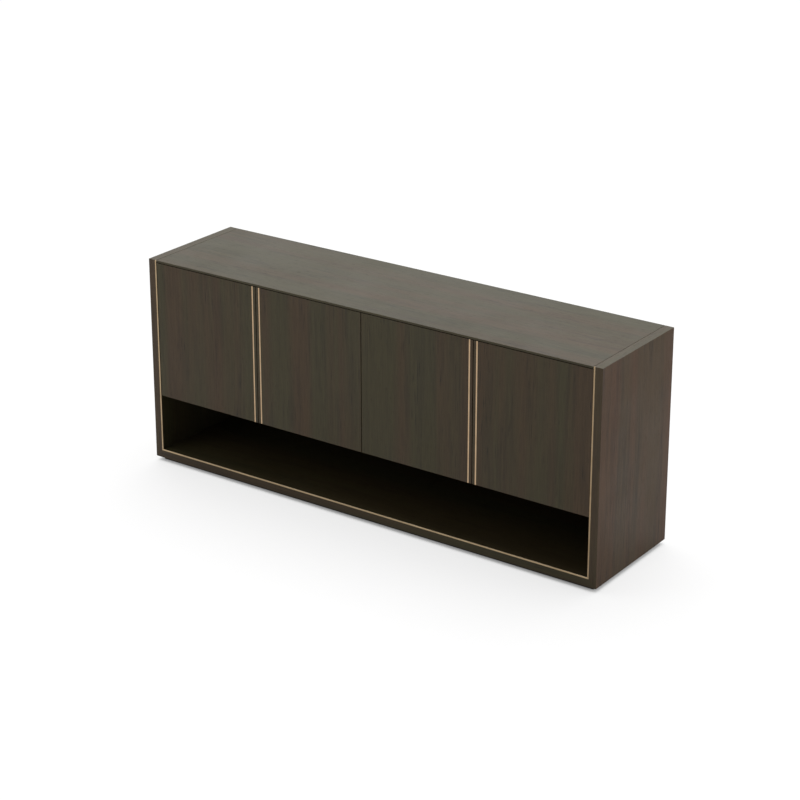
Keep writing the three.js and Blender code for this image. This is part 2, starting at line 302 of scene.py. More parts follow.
@dataclass(frozen=True)
class GrainLayer:
    """One layer of the grain: noise drawn out along the board.

    Attributes:
        width: The input that sets how wide its grains are.
        stretch: How many widths long a grain is.
        span: Noise values between which the layer comes in.
        share: Width of its grains as a share of the input.
        detail: Number of finer layers in the noise.
        roughness: How strong those are.
    """

    width: str
    stretch: float
    span: Span
    share: float = 1.0
    detail: float = 1.0
    roughness: float = 0.5


class StraightGrain(ShaderGroup):
    """Quarter-cut grain: bands, streaks, fibres and pores that run along the third coordinate.

    Attributes:
        layers: Output name to the layer that feeds it.
        waver_scale: Bends of the grain in a metre.
        waver_detail: Number of finer bends.
    """

    name = "straight_grain"
    numbers = ("Band Width", "Streak Width", "Fibre Width", "Waver")
    layers: ClassVar[dict[str, GrainLayer]] = {
        "Band": GrainLayer("Band Width", stretch=26.0, span=(0.4, 0.66), detail=2.0),
        "Patch": GrainLayer("Band Width", stretch=9.0, span=(0.42, 0.62), share=0.5),
        "Streak": GrainLayer("Streak Width", stretch=30.0, span=(0.3, 0.7)),
        "Dash": GrainLayer("Streak Width", stretch=24.0, span=(0.6, 0.76), share=0.3),
        "Fibre": GrainLayer("Fibre Width", stretch=55.0, span=(0.28, 0.72), detail=2.0, roughness=0.55),
        "Pore": GrainLayer("Fibre Width", stretch=16.0, span=(0.62, 0.74)),
    }
    outputs = tuple(layers)
    waver_scale: ClassVar[float] = 1.6
    waver_detail: ClassVar[float] = 1.0

    def fill(self, wiring: Wiring, given: Sockets) -> Feeds:
        """Bend the coordinates a little and add the layers of the grain.

        Args:
            wiring: The group's tree.
            given: The group's input sockets.

        Returns:
            Output name to the socket that feeds it.
        """
        across, depth, along = wiring.add("ShaderNodeSeparateXYZ", {0: given["Vector"]}).outputs
        bend = wiring.noise(given["Vector"], self.waver_scale, self.waver_detail)
        drift = wiring.math("SUBTRACT", bend, NOISE_MIDDLE)
        bent = wiring.math("ADD", across, wiring.math("MULTIPLY", drift, given["Waver"]))
        made = {}
        for label, layer in self.layers.items():
            width = wiring.math("MULTIPLY", given[layer.width], layer.share)
            length = wiring.math("MULTIPLY", width, layer.stretch)
            place = wiring.drawn_out((bent, depth, along), width, length)
            made[label] = wiring.ramp(wiring.noise(place, 1.0, layer.detail, layer.roughness), layer.span)
        return made


class BrushedLines(ShaderGroup):
    """Fine parallel scratches that run along the third coordinate.

    Attributes:
        line_detail: Number of finer scratches.
        line_roughness: How strong those are.
        blush_scale: Changes of tone in a metre.
        blush_detail: Number of finer changes of tone.
    """

    name = "brushed_lines"
    numbers = ("Line Width", "Line Length")
    outputs = ("Lines", "Blush")
    line_detail: ClassVar[float] = 3.0
    line_roughness: ClassVar[float] = 0.6
    blush_scale: ClassVar[float] = 22.0
    blush_detail: ClassVar[float] = 2.0

    def fill(self, wiring: Wiring, given: Sockets) -> Feeds:
        """Add the scratches and a slow change of tone along them.

        Args:
            wiring: The group's tree.
            given: The group's input sockets.

        Returns:
            Output name to the socket that feeds it.
        """
        parts = wiring.add("ShaderNodeSeparateXYZ", {0: given["Vector"]}).outputs
        place = wiring.drawn_out(parts, given["Line Width"], given["Line Length"])
        return {
            "Lines": wiring.noise(place, 1.0, self.line_detail, self.line_roughness),
            "Blush": wiring.noise(given["Vector"], self.blush_scale, self.blush_detail),
        }


class Clouding(ShaderGroup):
    """Soft patches, as of lacquer thickness, handling and a little dust.

    Attributes:
        cloud_detail: Number of finer patches.
        cloud_roughness: How strong those are.
        speck_share: Size of a speck as a share of a patch.
        speck_detail: Number of finer specks.
    """

    name = "clouding"
    numbers = ("Patch Size",)
    outputs = tuple(mottle.value for mottle in Mottle)
    cloud_detail: ClassVar[float] = 3.0
    cloud_roughness: ClassVar[float] = 0.55
    speck_share: ClassVar[float] = 0.02
    speck_detail: ClassVar[float] = 1.0

    def fill(self, wiring: Wiring, given: Sockets) -> Feeds:
        """Add the patches and a fine speckle.

        Args:
            wiring: The group's tree.
            given: The group's input sockets.

        Returns:
            Output name to the socket that feeds it.
        """
        patches = wiring.math("DIVIDE", 1.0, given["Patch Size"])
        specks = wiring.math("DIVIDE", patches, self.speck_share)
        cloud = wiring.noise(given["Vector"], patches, self.cloud_detail, self.cloud_roughness)
        speck = wiring.noise(given["Vector"], specks, self.speck_detail)
        return {Mottle.CLOUD.value: cloud, Mottle.SPECK.value: speck}


class EdgeRubAndHighlight(ShaderGroup):
    """Where the rounded edges are a little brighter in uneven stretches: partly rubbed wear, partly a
    painted highlight.

    Attributes:
        detail: Number of finer stretches.
        span: Noise values between which the brighter edge comes in.
        least: Share of the brighter edge that is left between the stretches.
    """

    name = "edge_rub_and_highlight"
    numbers = ("Edge", "Stretch Length")
    outputs = ("Rub And Highlight",)
    detail: ClassVar[float] = 2.0
    span: ClassVar[Span] = (0.35, 0.65)
    least: ClassVar[float] = 0.3

    def fill(self, wiring: Wiring, given: Sockets) -> Feeds:
        """Break the edge mask up with a slow noise.

        Args:
            wiring: The group's tree.
            given: The group's input sockets.

        Returns:
            Output name to the socket that feeds it.
        """
        frequency = wiring.math("DIVIDE", 1.0, given["Stretch Length"])
        noise = wiring.noise(given["Vector"], frequency, self.detail)
        uneven = wiring.ramp(noise, self.span, (self.least, 1.0))
        return {"Rub And Highlight": wiring.math("MULTIPLY", given["Edge"], uneven)}


@dataclass(frozen=True)
class Finish:
    """A finish; subclasses say how it is shaded.

    Attributes:
        name: Name of the material.
        slot: Name of the finish's slot; not used.
        roughness: Mean roughness.
    """

    name: str
    slot: str
    roughness: float

    def material(self) -> bpy.types.Material:
        """Return the material, built on first use."""
        return bpy.data.materials.get(self.name) or self._build()

    def _build(self) -> bpy.types.Material:
        """Make the material and let the subclass shade it.

        Returns:
            The finished material.
        """
        made = bpy.data.materials.new(self.name)
        wiring = Wiring.anew(made)
        shader = wiring.add("ShaderNodeBsdfPrincipled")
        wiring.add("ShaderNodeOutputMaterial", {"Surface": shader.outputs[0]})
        space = wiring.add("ShaderNodeAttribute", attribute_name=GRAIN_SPACE).outputs["Vector"]
        self.shade(wiring, shader, space)
        return made

    def shade(self, wiring: Wiring, shader: bpy.types.Node, space: Socket) -> None:
        """Feed the shader from coordinates that follow the grain of the piece; subclasses do so."""
        raise NotImplementedError

    def around(self, swing: float) -> Span:
        """Return the lowest and highest roughness for a swing each way."""
        return self.roughness - swing, self.roughness + swing

    @staticmethod
    def edge_rub_and_highlight(wiring: Wiring, space: Socket, length: float) -> Socket:
        """Find where the rounded edges of the piece are rubbed and carry a painted highlight.

        Args:
            wiring: The material's tree.
            space: Coordinates that follow the grain of the piece.
            length: Length of a rubbed stretch.

        Returns:
            The socket that says how far an edge is rubbed and highlighted.
        """
        edge = wiring.add("ShaderNodeAttribute", attribute_name=EDGE_MASK).outputs["Fac"]
        feeds = {"Vector": space, "Edge": edge, "Stretch Length": length}
        return EdgeRubAndHighlight().place(wiring, feeds)["Rub And Highlight"]

    @staticmethod
    def bump(wiring: Wiring, shader: bpy.types.Node, height: Value, share: float, depth: float) -> None:
        """Roughen the shader's normal by a share of a height from 0 to 1, which is a depth in metres."""
        feeds = {"Height": height, "Strength": share, "Distance": depth}
        wiring.feed(shader.inputs["Normal"], wiring.add("ShaderNodeBump", feeds).outputs[0])


@dataclass(frozen=True)
class Veneer(Finish):
    """Dark stained veneer under satin lacquer.

    Attributes:
        cool: Colour of the grey-olive bands.
        warm: Colour of the red-brown bands.
        deep: Colour of the streaks, dashes and pores.
        band_width: Width of the broad bands.
        streak_width: Width of the dark streaks.
        fibre_width: Width of the fibres and pores.
        waver: How far the grain bends sideways.
        streak_share: How strongly the dark streaks show.
        dash_share: How strongly the short dark dashes show.
        loose_share: How much of the streaks and dashes shows outside their patches.
        fibre_tone: Lightness of the darkest and the palest fibre.
        pore_share: How strongly the pores show.
        rub_and_highlight_colour: Colour of an edge that is rubbed and carries a painted highlight.
        rub_and_highlight_share: How strongly that brighter edge shows.
        rub_and_highlight_length: Length of a brighter stretch of edge.
        gloss: Specular level of the lacquer.
        cloud_size: Size of the patches in the lacquer.
        cloud_span: Clouding between which the roughness swings.
        swing: How far the roughness swings each way.
        pore_dulling: How much rougher a pore is.
        fibre_height: Height of a fibre as a share of a pore's depth.
        bump_share: Share of the bump that shows.
        bump_depth: Depth of a pore.
    """

    cool: str = "3d3722"
    warm: str = "433422"
    deep: str = "1a160f"
    band_width: float = 90 * MM
    streak_width: float = 11 * MM
    fibre_width: float = 1.6 * MM
    waver: float = 30 * MM
    streak_share: float = 0.26
    dash_share: float = 0.85
    loose_share: float = 0.3
    fibre_tone: Span = (0.88, 1.12)
    pore_share: float = 0.35
    # Rounded edges lighter: partly rubbed wear, partly a painted highlight.
    rub_and_highlight_colour: str = "6a5a48"
    rub_and_highlight_share: float = 0.25
    rub_and_highlight_length: float = 120 * MM
    gloss: float = 0.22
    cloud_size: float = 250 * MM
    cloud_span: Span = (0.25, 0.75)
    swing: float = 0.05
    pore_dulling: float = 0.12
    fibre_height: float = 0.35
    bump_share: float = 0.25
    bump_depth: float = 0.12 * MM

    def shade(self, wiring: Wiring, shader: bpy.types.Node, space: Socket) -> None:
        """Lay the grain, cloud the lacquer over it and raise the fibres.

        Args:
            wiring: The material's tree.
            shader: The surface shader.
            space: Coordinates that follow the grain of the piece.
        """
        grain = StraightGrain().place(wiring, {
            "Vector": space,
            "Band Width": self.band_width,
            "Streak Width": self.streak_width,
            "Fibre Width": self.fibre_width,
            "Waver": self.waver,
        })
        rub_and_highlight = self.edge_rub_and_highlight(wiring, space, self.rub_and_highlight_length)
        wiring.feed(shader.inputs["Base Color"], self._tone(wiring, grain, rub_and_highlight))
        cloud = Clouding().place(wiring, {"Vector": space, "Patch Size": self.cloud_size})
        satin = wiring.ramp(cloud[Mottle.CLOUD.value], self.cloud_span, self.around(self.swing))
        dulling = wiring.math("MULTIPLY", grain["Pore"], self.pore_dulling)
        wiring.feed(shader.inputs["Roughness"], wiring.math("ADD", satin, dulling))
        shader.inputs["Specular IOR Level"].default_value = self.gloss
        raised = wiring.math("MULTIPLY", grain["Fibre"], self.fibre_height)
        height = wiring.math("SUBTRACT", raised, grain["Pore"])
        self.bump(wiring, shader, height, self.bump_share, self.bump_depth)

    def _tone(self, wiring: Wiring, grain: Sockets, rub_and_highlight: Socket) -> Socket:
        """Lay bands, streaks, dashes, fibres, pores and the rubbed, painted-highlight edges over each
        other.

        Args:
            wiring: The material's tree.
            grain: The layers of the grain.
            rub_and_highlight: How far an edge is rubbed and carries a painted highlight.

        Returns:
            The colour's socket.
        """
        deep = paint(self.deep)
        gathered = wiring.ramp(grain["Patch"], UNIT, (self.loose_share, 1.0))
        streak = wiring.ramp(grain["Streak"], UNIT, (self.streak_share, 0.0))
        dash = wiring.math("MULTIPLY", grain["Dash"], self.dash_share)
        fibre = wiring.ramp(grain["Fibre"], UNIT, self.fibre_tone)
        pore = wiring.math("MULTIPLY", grain["Pore"], self.pore_share)
        tone = wiring.mix(grain["Band"], paint(self.cool), paint(self.warm))
        for mark in (streak, dash):
            tone = wiring.mix(wiring.math("MULTIPLY", mark, gathered), tone, deep)
        tone = wiring.mix(1.0, tone, fibre, "MULTIPLY")
        tone = wiring.mix(pore, tone, deep)
        return wiring.mix(wiring.math("MULTIPLY", rub_and_highlight, self.rub_and_highlight_share), tone, paint(self.rub_and_highlight_colour))


@dataclass(frozen=True)
class Clouded(Finish):
    """Paint or plastic of one colour, with soft patches and a fine speckle.

    Attributes:
        colour: Its main colour.
        cloud_colour: Colour of the paler patches.
        cloud_size: Size of the patches.
        cloud_share: How strongly the patches show.
        dulled_by: The pattern that the roughness follows.
        dull_span: Values of that pattern between which the roughness swings.
        swing: How far the roughness swings each way.
        gloss: Specular level.
        bump_share: Share of the speckle's bump that shows.
        bump_depth: Depth of the speckle.
        cloud_span: Clouding between which the patches come in.
    """

    colour: str
    cloud_colour: str
    cloud_size: float
    cloud_share: float
    dulled_by: Mottle
    dull_span: Span
    swing: float
    gloss: float
    bump_share: float
    bump_depth: float
    cloud_span: Span = (0.3, 0.7)

    def shade(self, wiring: Wiring, shader: bpy.types.Node, space: Socket) -> None:
        """Cloud the colour, vary the gloss and raise the speckle.

        Args:
            wiring: The material's tree.
            shader: The surface shader.
            space: Coordinates that follow the grain of the piece.
        """
        cloud = Clouding().place(wiring, {"Vector": space, "Patch Size": self.cloud_size})
        share = wiring.ramp(cloud[Mottle.CLOUD.value], self.cloud_span, (0.0, self.cloud_share))
        tone = wiring.mix(share, paint(self.colour), paint(self.cloud_colour))
        wiring.feed(shader.inputs["Base Color"], tone)
        dull = wiring.ramp(cloud[self.dulled_by.value], self.dull_span, self.around(self.swing))
        wiring.feed(shader.inputs["Roughness"], dull)
        shader.inputs["Specular IOR Level"].default_value = self.gloss
        self.bump(wiring, shader, cloud[Mottle.SPECK.value], self.bump_share, self.bump_depth)


@dataclass(frozen=True)
class BrushedMetal(Finish):
    """Metal with a brushed or plated surface.

    Attributes:
        colour: Colour of the metal.
        tarnish: Colour of the duller patches.
        line_width: Spacing of the brush lines.
        line_length: Length of the brush lines.
        line_depth: Depth of the brush lines.
        line_span: Noise values of the faintest and the strongest line.
        line_tone: Lightness that those two give.
        blush_span: Noise values between which the tarnish comes in.
        blush_share: How strongly the tarnish shows.
        rub_and_highlight_colour: Colour of an edge that is rubbed and carries a painted glint.
        rub_and_highlight_share: How strongly that brighter edge shows.
        rub_and_highlight_length: Length of a brighter stretch of edge.
        satin_span: Noise values between which the roughness swings.
        swing: How far the roughness swings each way.
        bump_share: Share of the lines' depth that shows.
    """

    colour: str
    tarnish: str
    line_width: float = 0.25 * MM
    line_length: float = 40 * MM
    line_depth: float = 0.04 * MM
    line_span: Span = (0.25, 0.75)
    line_tone: Span = (0.9, 1.1)
    blush_span: Span = (0.35, 0.75)
    blush_share: float = 0.35
    # Rounded edges near white: partly rubbed wear, partly a painted glint.
    rub_and_highlight_colour: str = "eee4d2"
    rub_and_highlight_share: float = 0.35
    rub_and_highlight_length: float = 50 * MM
    satin_span: Span = (0.2, 0.8)
    swing: float = 0.08
    bump_share: float = 0.3

    def shade(self, wiring: Wiring, shader: bpy.types.Node, space: Socket) -> None:
        """Brush the metal along its length, dull it in patches and brighten its edges with rubbing and a
        painted glint.

        Args:
            wiring: The material's tree.
            shader: The surface shader.
            space: Coordinates that follow the grain of the piece.
        """
        brush = BrushedLines().place(wiring, {
            "Vector": space,
            "Line Width": self.line_width,
            "Line Length": self.line_length,
        })
        rub_and_highlight = self.edge_rub_and_highlight(wiring, space, self.rub_and_highlight_length)
        dull = wiring.ramp(brush["Blush"], self.blush_span, (0.0, self.blush_share))
        tone = wiring.mix(dull, paint(self.colour), paint(self.tarnish))
        lines = wiring.ramp(brush["Lines"], self.line_span, self.line_tone)
        tone = wiring.mix(1.0, tone, lines, "MULTIPLY")
        tone = wiring.mix(wiring.math("MULTIPLY", rub_and_highlight, self.rub_and_highlight_share), tone, paint(self.rub_and_highlight_colour))
        wiring.feed(shader.inputs["Base Color"], tone)
        satin = wiring.ramp(brush["Lines"], self.satin_span, self.around(self.swing))
        wiring.feed(shader.inputs["Roughness"], satin)
        shader.inputs["Metallic"].default_value = 1.0
        self.bump(wiring, shader, brush["Lines"], self.bump_share, self.line_depth)


# Wood of the doors, the ends, the faces inside the opening, the top and the cupboards.
# The ends and the top take copies of the door veneer retoned for how they are lit, which is painted
# light;
# the faces inside the opening take a copy darkened as painted shade.
DOOR_VENEER = Veneer("door_veneer", "veneer", 0.42)
SIDE_LIT_VENEER = Veneer(
    "side_lit_veneer", "veneer", 0.52, cool="443522", warm="4b3422", gloss=0.19, streak_share=0.38,
)
INNER_SHADED_VENEER = Veneer("inner_shaded_veneer", "veneer", 0.5, cool="322f1e", warm="352d1d", gloss=0.15)
TOP_LIT_VENEER = Veneer("top_lit_veneer", "veneer", 0.45, cool="3f3b29", warm="453929")
LINING = Veneer("lining_veneer", "lining", 0.55, gloss=0.25, streak_share=0.3)

# Brass of the trim bars and of the door strips. The right bar's copy is darkened as painted shade,
# and the bottom bar's copy is lightened as painted light.
BRASS = BrushedMetal("brushed_brass", "brass", 0.36, colour="ae9776", tarnish="857154")
PAINTED_SHADE_BRASS = BrushedMetal("painted_shade_brass", "brass", 0.38, colour="998366", tarnish="756346")
PAINTED_LIGHT_BRASS = BrushedMetal("painted_light_brass", "brass", 0.34, colour="b7a07e", tarnish="8e7a5c")
STRIP_BRASS = BrushedMetal("strip_brass", "brass", 0.34, colour="ba9e7e", tarnish="917a5d")

# Steel of the fittings and of the back's screws
NICKEL = BrushedMetal(
    "nickel_plate", "steel", 0.26, colour="b9b7b0", tarnish="8d8a84",
    line_width=0.4 * MM, line_length=4 * MM, line_depth=0.03 * MM,
)
BLACK_STEEL = BrushedMetal(
    "blackened_steel", "steel", 0.4, colour="4a4743", tarnish="2c2a28",
    line_width=0.4 * MM, line_length=2 * MM, line_depth=0.03 * MM,
)

# Paint of the plinth and plastic of the latches
PLINTH_PAINT = Clouded(
    "plinth_paint", "plinth", 0.6, colour="1c1813", cloud_colour="2c261f",
    cloud_size=60 * MM, cloud_share=0.4, dulled_by=Mottle.CLOUD, dull_span=(0.25, 0.75),
    swing=0.08, gloss=0.3, bump_share=0.2, bump_depth=0.15 * MM,
)
LATCH_PLASTIC = Clouded(
    "latch_plastic", "plastic", 0.5, colour="2b2b2d", cloud_colour="39393b",
    cloud_size=12 * MM, cloud_share=0.5, dulled_by=Mottle.SPECK, dull_span=(0.3, 0.7),
    swing=0.06, gloss=0.5, bump_share=0.35, bump_depth=0.06 * MM,
)


@dataclass
class Stock:
    """A CAD piece taken over with rounded edges, a grain direction and a finish.

    Attributes:
        node: Name of the CAD node.
        body: Name of the body that it rides on.
        finish: The finish of its faces.
        grain: Direction of the grain on its faces.
        radius: Radius of its edges.
        leaf: Number of the veneer leaf, which shifts the pattern.
        faces: Other finishes, each with the direction of the faces that it covers.
        segments: Facets round an edge.
        merge_distance: Points that lie closer than this are one point.
        flat_angle: Faces that turn less than this become one face.
        sharp_angle: Edges that turn more than this are edges of the piece.
        flat_limit: Share of a normal along an axis from which a face counts as square.
        run_out: Likeness of two normals from which a rounded edge runs out into a flat face.
        face_limit: Likeness of two normals from which a face takes another finish.
        leaf_step: How far the pattern shifts from one leaf to the next.
    """

    node: str
    body: str
    finish: Finish
    grain: Axis
    radius: float
    leaf: int = 0
    faces: tuple[tuple[Vector, Finish], ...] = ()
    segments: ClassVar[int] = 3
    merge_distance: ClassVar[float] = 0.005 * MM
    flat_angle: ClassVar[float] = math.radians(0.5)
    sharp_angle: ClassVar[float] = math.radians(35.0)
    flat_limit: ClassVar[float] = 0.9999
    run_out: ClassVar[float] = 0.5
    face_limit: ClassVar[float] = 0.75
    leaf_step: ClassVar[Vector] = Vector((0.377, 0.213, 1.731))

    def build(self) -> bpy.types.Object:
        """Make the piece, let it stand for its CAD node and dress it.

        Returns:
            The finished object.
        """
        made = bpy.data.objects.new(f"{self.node}_dressed", self._clean_mesh())
        bpy.context.scene.collection.objects.link(made)
        self._round_edges(made)
        self._set_normals(made.data)
        self._lay_grain(made.data)
        self._dress(made.data)
        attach(made, self.body)
        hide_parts(self.node)
        LOG.info("%s rides on %s in %s", made.name, self.body, self.finish.name)
        return made

    def _clean_mesh(self) -> bpy.types.Mesh:
        """Copy the CAD mesh, join its flat triangles and mark the edges to round.

        Returns:
            The prepared mesh.
        """
        work = bmesh.new()
        work.from_mesh(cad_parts[self.node].data)
        bmesh.ops.remove_doubles(work, verts=work.verts, dist=self.merge_distance)
        bmesh.ops.dissolve_limit(work, angle_limit=self.flat_angle, verts=work.verts, edges=work.edges)
        work.normal_update()
        weight = work.edges.layers.float.new("bevel_weight_edge")
        for face in work.faces:
            face.smooth = True
        for edge in work.edges:
            turned = edge.calc_face_angle(0.0) > self.sharp_angle
            rounded = turned and all(self._is_square(face.normal) for face in edge.link_faces)
            edge[weight] = 1.0 if rounded else 0.0
            edge.smooth = not turned or rounded
        mesh = bpy.data.meshes.new(f"{self.node}_dressed")
        work.to_mesh(mesh)
        work.free()
        return mesh

    def _is_square(self, normal: Vector) -> bool:
        """Tell whether a normal lies along an axis of the frame."""
        return max(abs(part) for part in normal) > self.flat_limit

    def _round_edges(self, made: bpy.types.Object) -> None:
        """Round the marked edges and keep the result as a plain mesh.

        Args:
            made: The object to round.
        """
        bevel = made.modifiers.new("rounded_edges", "BEVEL")
        bevel.limit_method = "WEIGHT"
        bevel.width = self.radius
        bevel.segments = self.segments
        bevel.use_clamp_overlap = False
        settle(made)

    def _set_normals(self, mesh: bpy.types.Mesh) -> None:
        """Keep the flat faces flat and let the rounded edges run out into them.

        Args:
            mesh: The finished mesh.
        """
        flats: dict[int, list[Vector]] = {}
        for face in mesh.polygons:
            if self._is_square(face.normal):
                for vertex in face.vertices:
                    flats.setdefault(vertex, []).append(face.normal.copy())
        normals = [item.vector.copy() for item in mesh.corner_normals]
        for face in mesh.polygons:
            for corner, vertex in zip(face.loop_indices, face.vertices):
                near = [flat for flat in flats.get(vertex, ()) if flat.dot(face.normal) > self.run_out]
                if near:
                    normals[corner] = max(near, key=face.normal.dot)
        mesh.normals_split_custom_set(normals)

    def _lay_grain(self, mesh: bpy.types.Mesh) -> None:
        """Write the coordinates along the grain and the mask of the rounded edges.

        Args:
            mesh: The finished mesh.
        """
        axes = [axis.value for axis in Axis]
        spots = [vertex.co for vertex in mesh.vertices]
        spans = [max(spot[axis] for spot in spots) - min(spot[axis] for spot in spots) for axis in axes]
        shift = self.leaf_step * self.leaf
        places: list[float] = []
        masks: list[float] = []
        for face in mesh.polygons:
            depth = max(axes, key=lambda axis: abs(face.normal[axis]))
            others = [axis for axis in axes if axis != depth]
            along = self.grain.value
            if along == depth:
                along = max(others, key=lambda axis: spans[axis])
            across = next(axis for axis in others if axis != along)
            for vertex in face.vertices:
                spot = spots[vertex]
                places.extend(Vector((spot[across], spot[depth], spot[along])) + shift)
                masks.append(0.0 if self._is_square(face.normal) else 1.0)
        mesh.attributes.new(GRAIN_SPACE, "FLOAT_VECTOR", "CORNER").data.foreach_set("vector", places)
        mesh.attributes.new(EDGE_MASK, "FLOAT", "CORNER").data.foreach_set("value", masks)

    def _dress(self, mesh: bpy.types.Mesh) -> None:
        """Give the faces their finishes.

        Args:
            mesh: The finished mesh.
        """
        mesh.materials.clear()
        for finish in (self.finish, *(other for _, other in self.faces)):
            mesh.materials.append(finish.material())
        for face in mesh.polygons:
            turned = [
                number for number, (way, _) in enumerate(self.faces, start=1)
                if face.normal.dot(way) > self.face_limit
            ]
            face.material_index = turned[0] if turned else 0


@dataclass
class Carcass:
    """The fixed boards, the plinth and the shelves.

    Attributes:
        radius: Radius of the boards' edges.
        left_leaf: Number of the left side's veneer leaf.
        right_leaf: Number of the right side's veneer leaf.
        top_leaf: Number of the top's veneer leaf.
        bottom_leaf: Number of the bottom's veneer leaf.
        lining_leaf: Number of the first inner board's veneer leaf.
    """

    radius: float = 0.5 * MM
    left_leaf: int = 0
    right_leaf: int = 14
    top_leaf: int = 8
    bottom_leaf: int = 3
    lining_leaf: int = 5

    def build(self) -> list[bpy.types.Object]:
        """Make all the boards and return their objects."""
        boards = (*self._sides(), *self._top_and_bottom(), *self._lining(), *self._plinth())
        return [board.build() for board in boards]

    def _sides(self) -> list[Stock]:
        """List the two ends, whose outer and top faces carry painted light and whose inner faces carry
        painted shade.

        Returns:
            The left and the right side.
        """
        boards = []
        for end, outwards, leaf in (("left", -RIGHT, self.left_leaf), ("right", RIGHT, self.right_leaf)):
            faces = ((outwards, SIDE_LIT_VENEER), (FRONT, DOOR_VENEER), (UP, TOP_LIT_VENEER))
            node = f"{end}_side_panel"
            boards.append(Stock(node, CARCASS, INNER_SHADED_VENEER, Axis.Z, self.radius, leaf, faces))
        return boards

    def _top_and_bottom(self) -> list[Stock]:
        """List the two long boards.

        Returns:
            The top and the bottom.
        """
        edge = (FRONT, DOOR_VENEER)
        # The bottom board and the top's underside take the inner veneer, darkened as painted shade; the
        # top takes veneer retoned as painted light.
        top_faces = (edge, (-UP, INNER_SHADED_VENEER))
        return [
            Stock("top_panel", CARCASS, TOP_LIT_VENEER, Axis.X, self.radius, self.top_leaf, top_faces),
            Stock("bottom_panel", CARCASS, INNER_SHADED_VENEER, Axis.X, self.radius, self.bottom_leaf, (edge,)),
        ]

    def _lining(self) -> list[Stock]:
        """List the inner boards and shelves.

        Returns:
            The boards, each with the next leaf of veneer.
        """
        grains = {
            "deck_panel": Axis.X,
            "centre_partition": Axis.Z,
            "back_panel": Axis.X,
            "left_shelf": Axis.X,
            "right_shelf": Axis.X,
        }
        return [
            Stock(node, CARCASS, LINING, grain, self.radius, leaf)
            for leaf, (node, grain) in enumerate(grains.items(), start=self.lining_leaf)
        ]

    def _plinth(self) -> list[Stock]:
        """List the rails of the plinth.

        Returns:
            The two long rails and the three short ones.
        """
        grains = {"front": Axis.X, "rear": Axis.X, "left": Axis.Y, "right": Axis.Y, "centre": Axis.Y}
        return [
            Stock(f"plinth_{place}_rail", CARCASS, PLINTH_PAINT, grain, self.radius)
            for place, grain in grains.items()
        ]


@dataclass
class Trim:
    """The brass bars round the opening.

    Attributes:
        radius: Radius of their edges.
    """

    radius: float = 0.35 * MM

    def build(self) -> list[bpy.types.Object]:
        """Make the three bars, each in its own tone of brass: the right one darkened as painted shade,
        the bottom one lightened as painted light.

        Returns:
            The finished objects.
        """
        plans = (
            ("left_trim", BRASS, Axis.Z),
            ("right_trim", PAINTED_SHADE_BRASS, Axis.Z),
            ("bottom_trim", PAINTED_LIGHT_BRASS, Axis.X),
        )
        return [
            Stock(node, CARCASS, finish, grain, self.radius, leaf).build()
            for leaf, (node, finish, grain) in enumerate(plans)
        ]


@dataclass
class ShelfPins:
    """The pins that the shelves lie on.

    Attributes:
        radius: Radius of their edges.
    """

    radius: float = 0.5 * MM

    def build(self) -> list[bpy.types.Object]:
        """Make the eight pins.

        Returns:
            The finished objects.
        """
        names = (
            f"{end}_shelf_{row}_{side}_pin"
            for end in ("left", "right")
            for row in ("front", "rear")
            for side in ("outer", "inner")
        )
        return [Stock(name, CARCASS, NICKEL, Axis.X, self.radius).build() for name in names]


